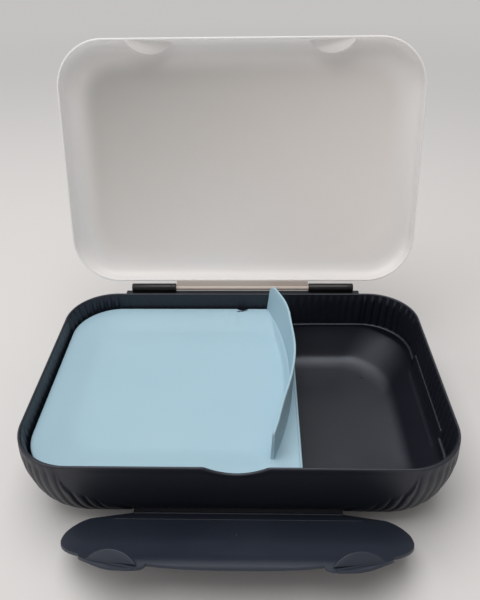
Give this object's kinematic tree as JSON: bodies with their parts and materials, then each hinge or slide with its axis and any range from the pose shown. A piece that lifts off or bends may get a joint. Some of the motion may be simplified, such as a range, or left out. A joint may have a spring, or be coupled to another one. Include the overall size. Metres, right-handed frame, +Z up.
{
  "type": "bento lunch box",
  "caption": "Open bento lunch box: fluted rounded tub, hinged frosted lid, front latch flap with hooks, and a lift-out tray with a curved divider fin.",
  "frame": {"origin": "centre of the tub's flat base", "axes": "+Z up, +Y from the latch flap towards the lid's hinge, +X to the right seen from the latch side"},
  "size_m": [0.2564, 0.2753, 0.2319],
  "materials": {
    "tub_navy": "satin",
    "flap_navy": "satin",
    "clip_black": "satin",
    "frosted": "frosted",
    "pale_blue": "satin"
  },
  "bodies": {
    "base": {"tub": "tub_navy", "hinge_shelf": "tub_navy", "hinge_clip_left": "clip_black", "hinge_clip_right": "clip_black", "film_hinge": "flap_navy", "insert_tray": "pale_blue", "divider_fin": "pale_blue"},
    "lid": {"lid": "frosted", "lid_hinge_bar": "frosted"},
    "flap": {"latch_flap": "flap_navy"}
  },
  "joints": [
    {"name": "lid_hinge", "type": "hinge", "parent": "base", "child": "lid", "pos_m": [0, 0.0923, 0.0578], "axis": [1, 0, 0], "range_deg": [0, 103.6]},
    {"name": "flap_hinge", "type": "hinge", "parent": "base", "child": "flap", "pos_m": [0, -0.07756, 0.0083], "axis": [-1, 0, 0], "range_deg": [0, 51]}
  ]
}
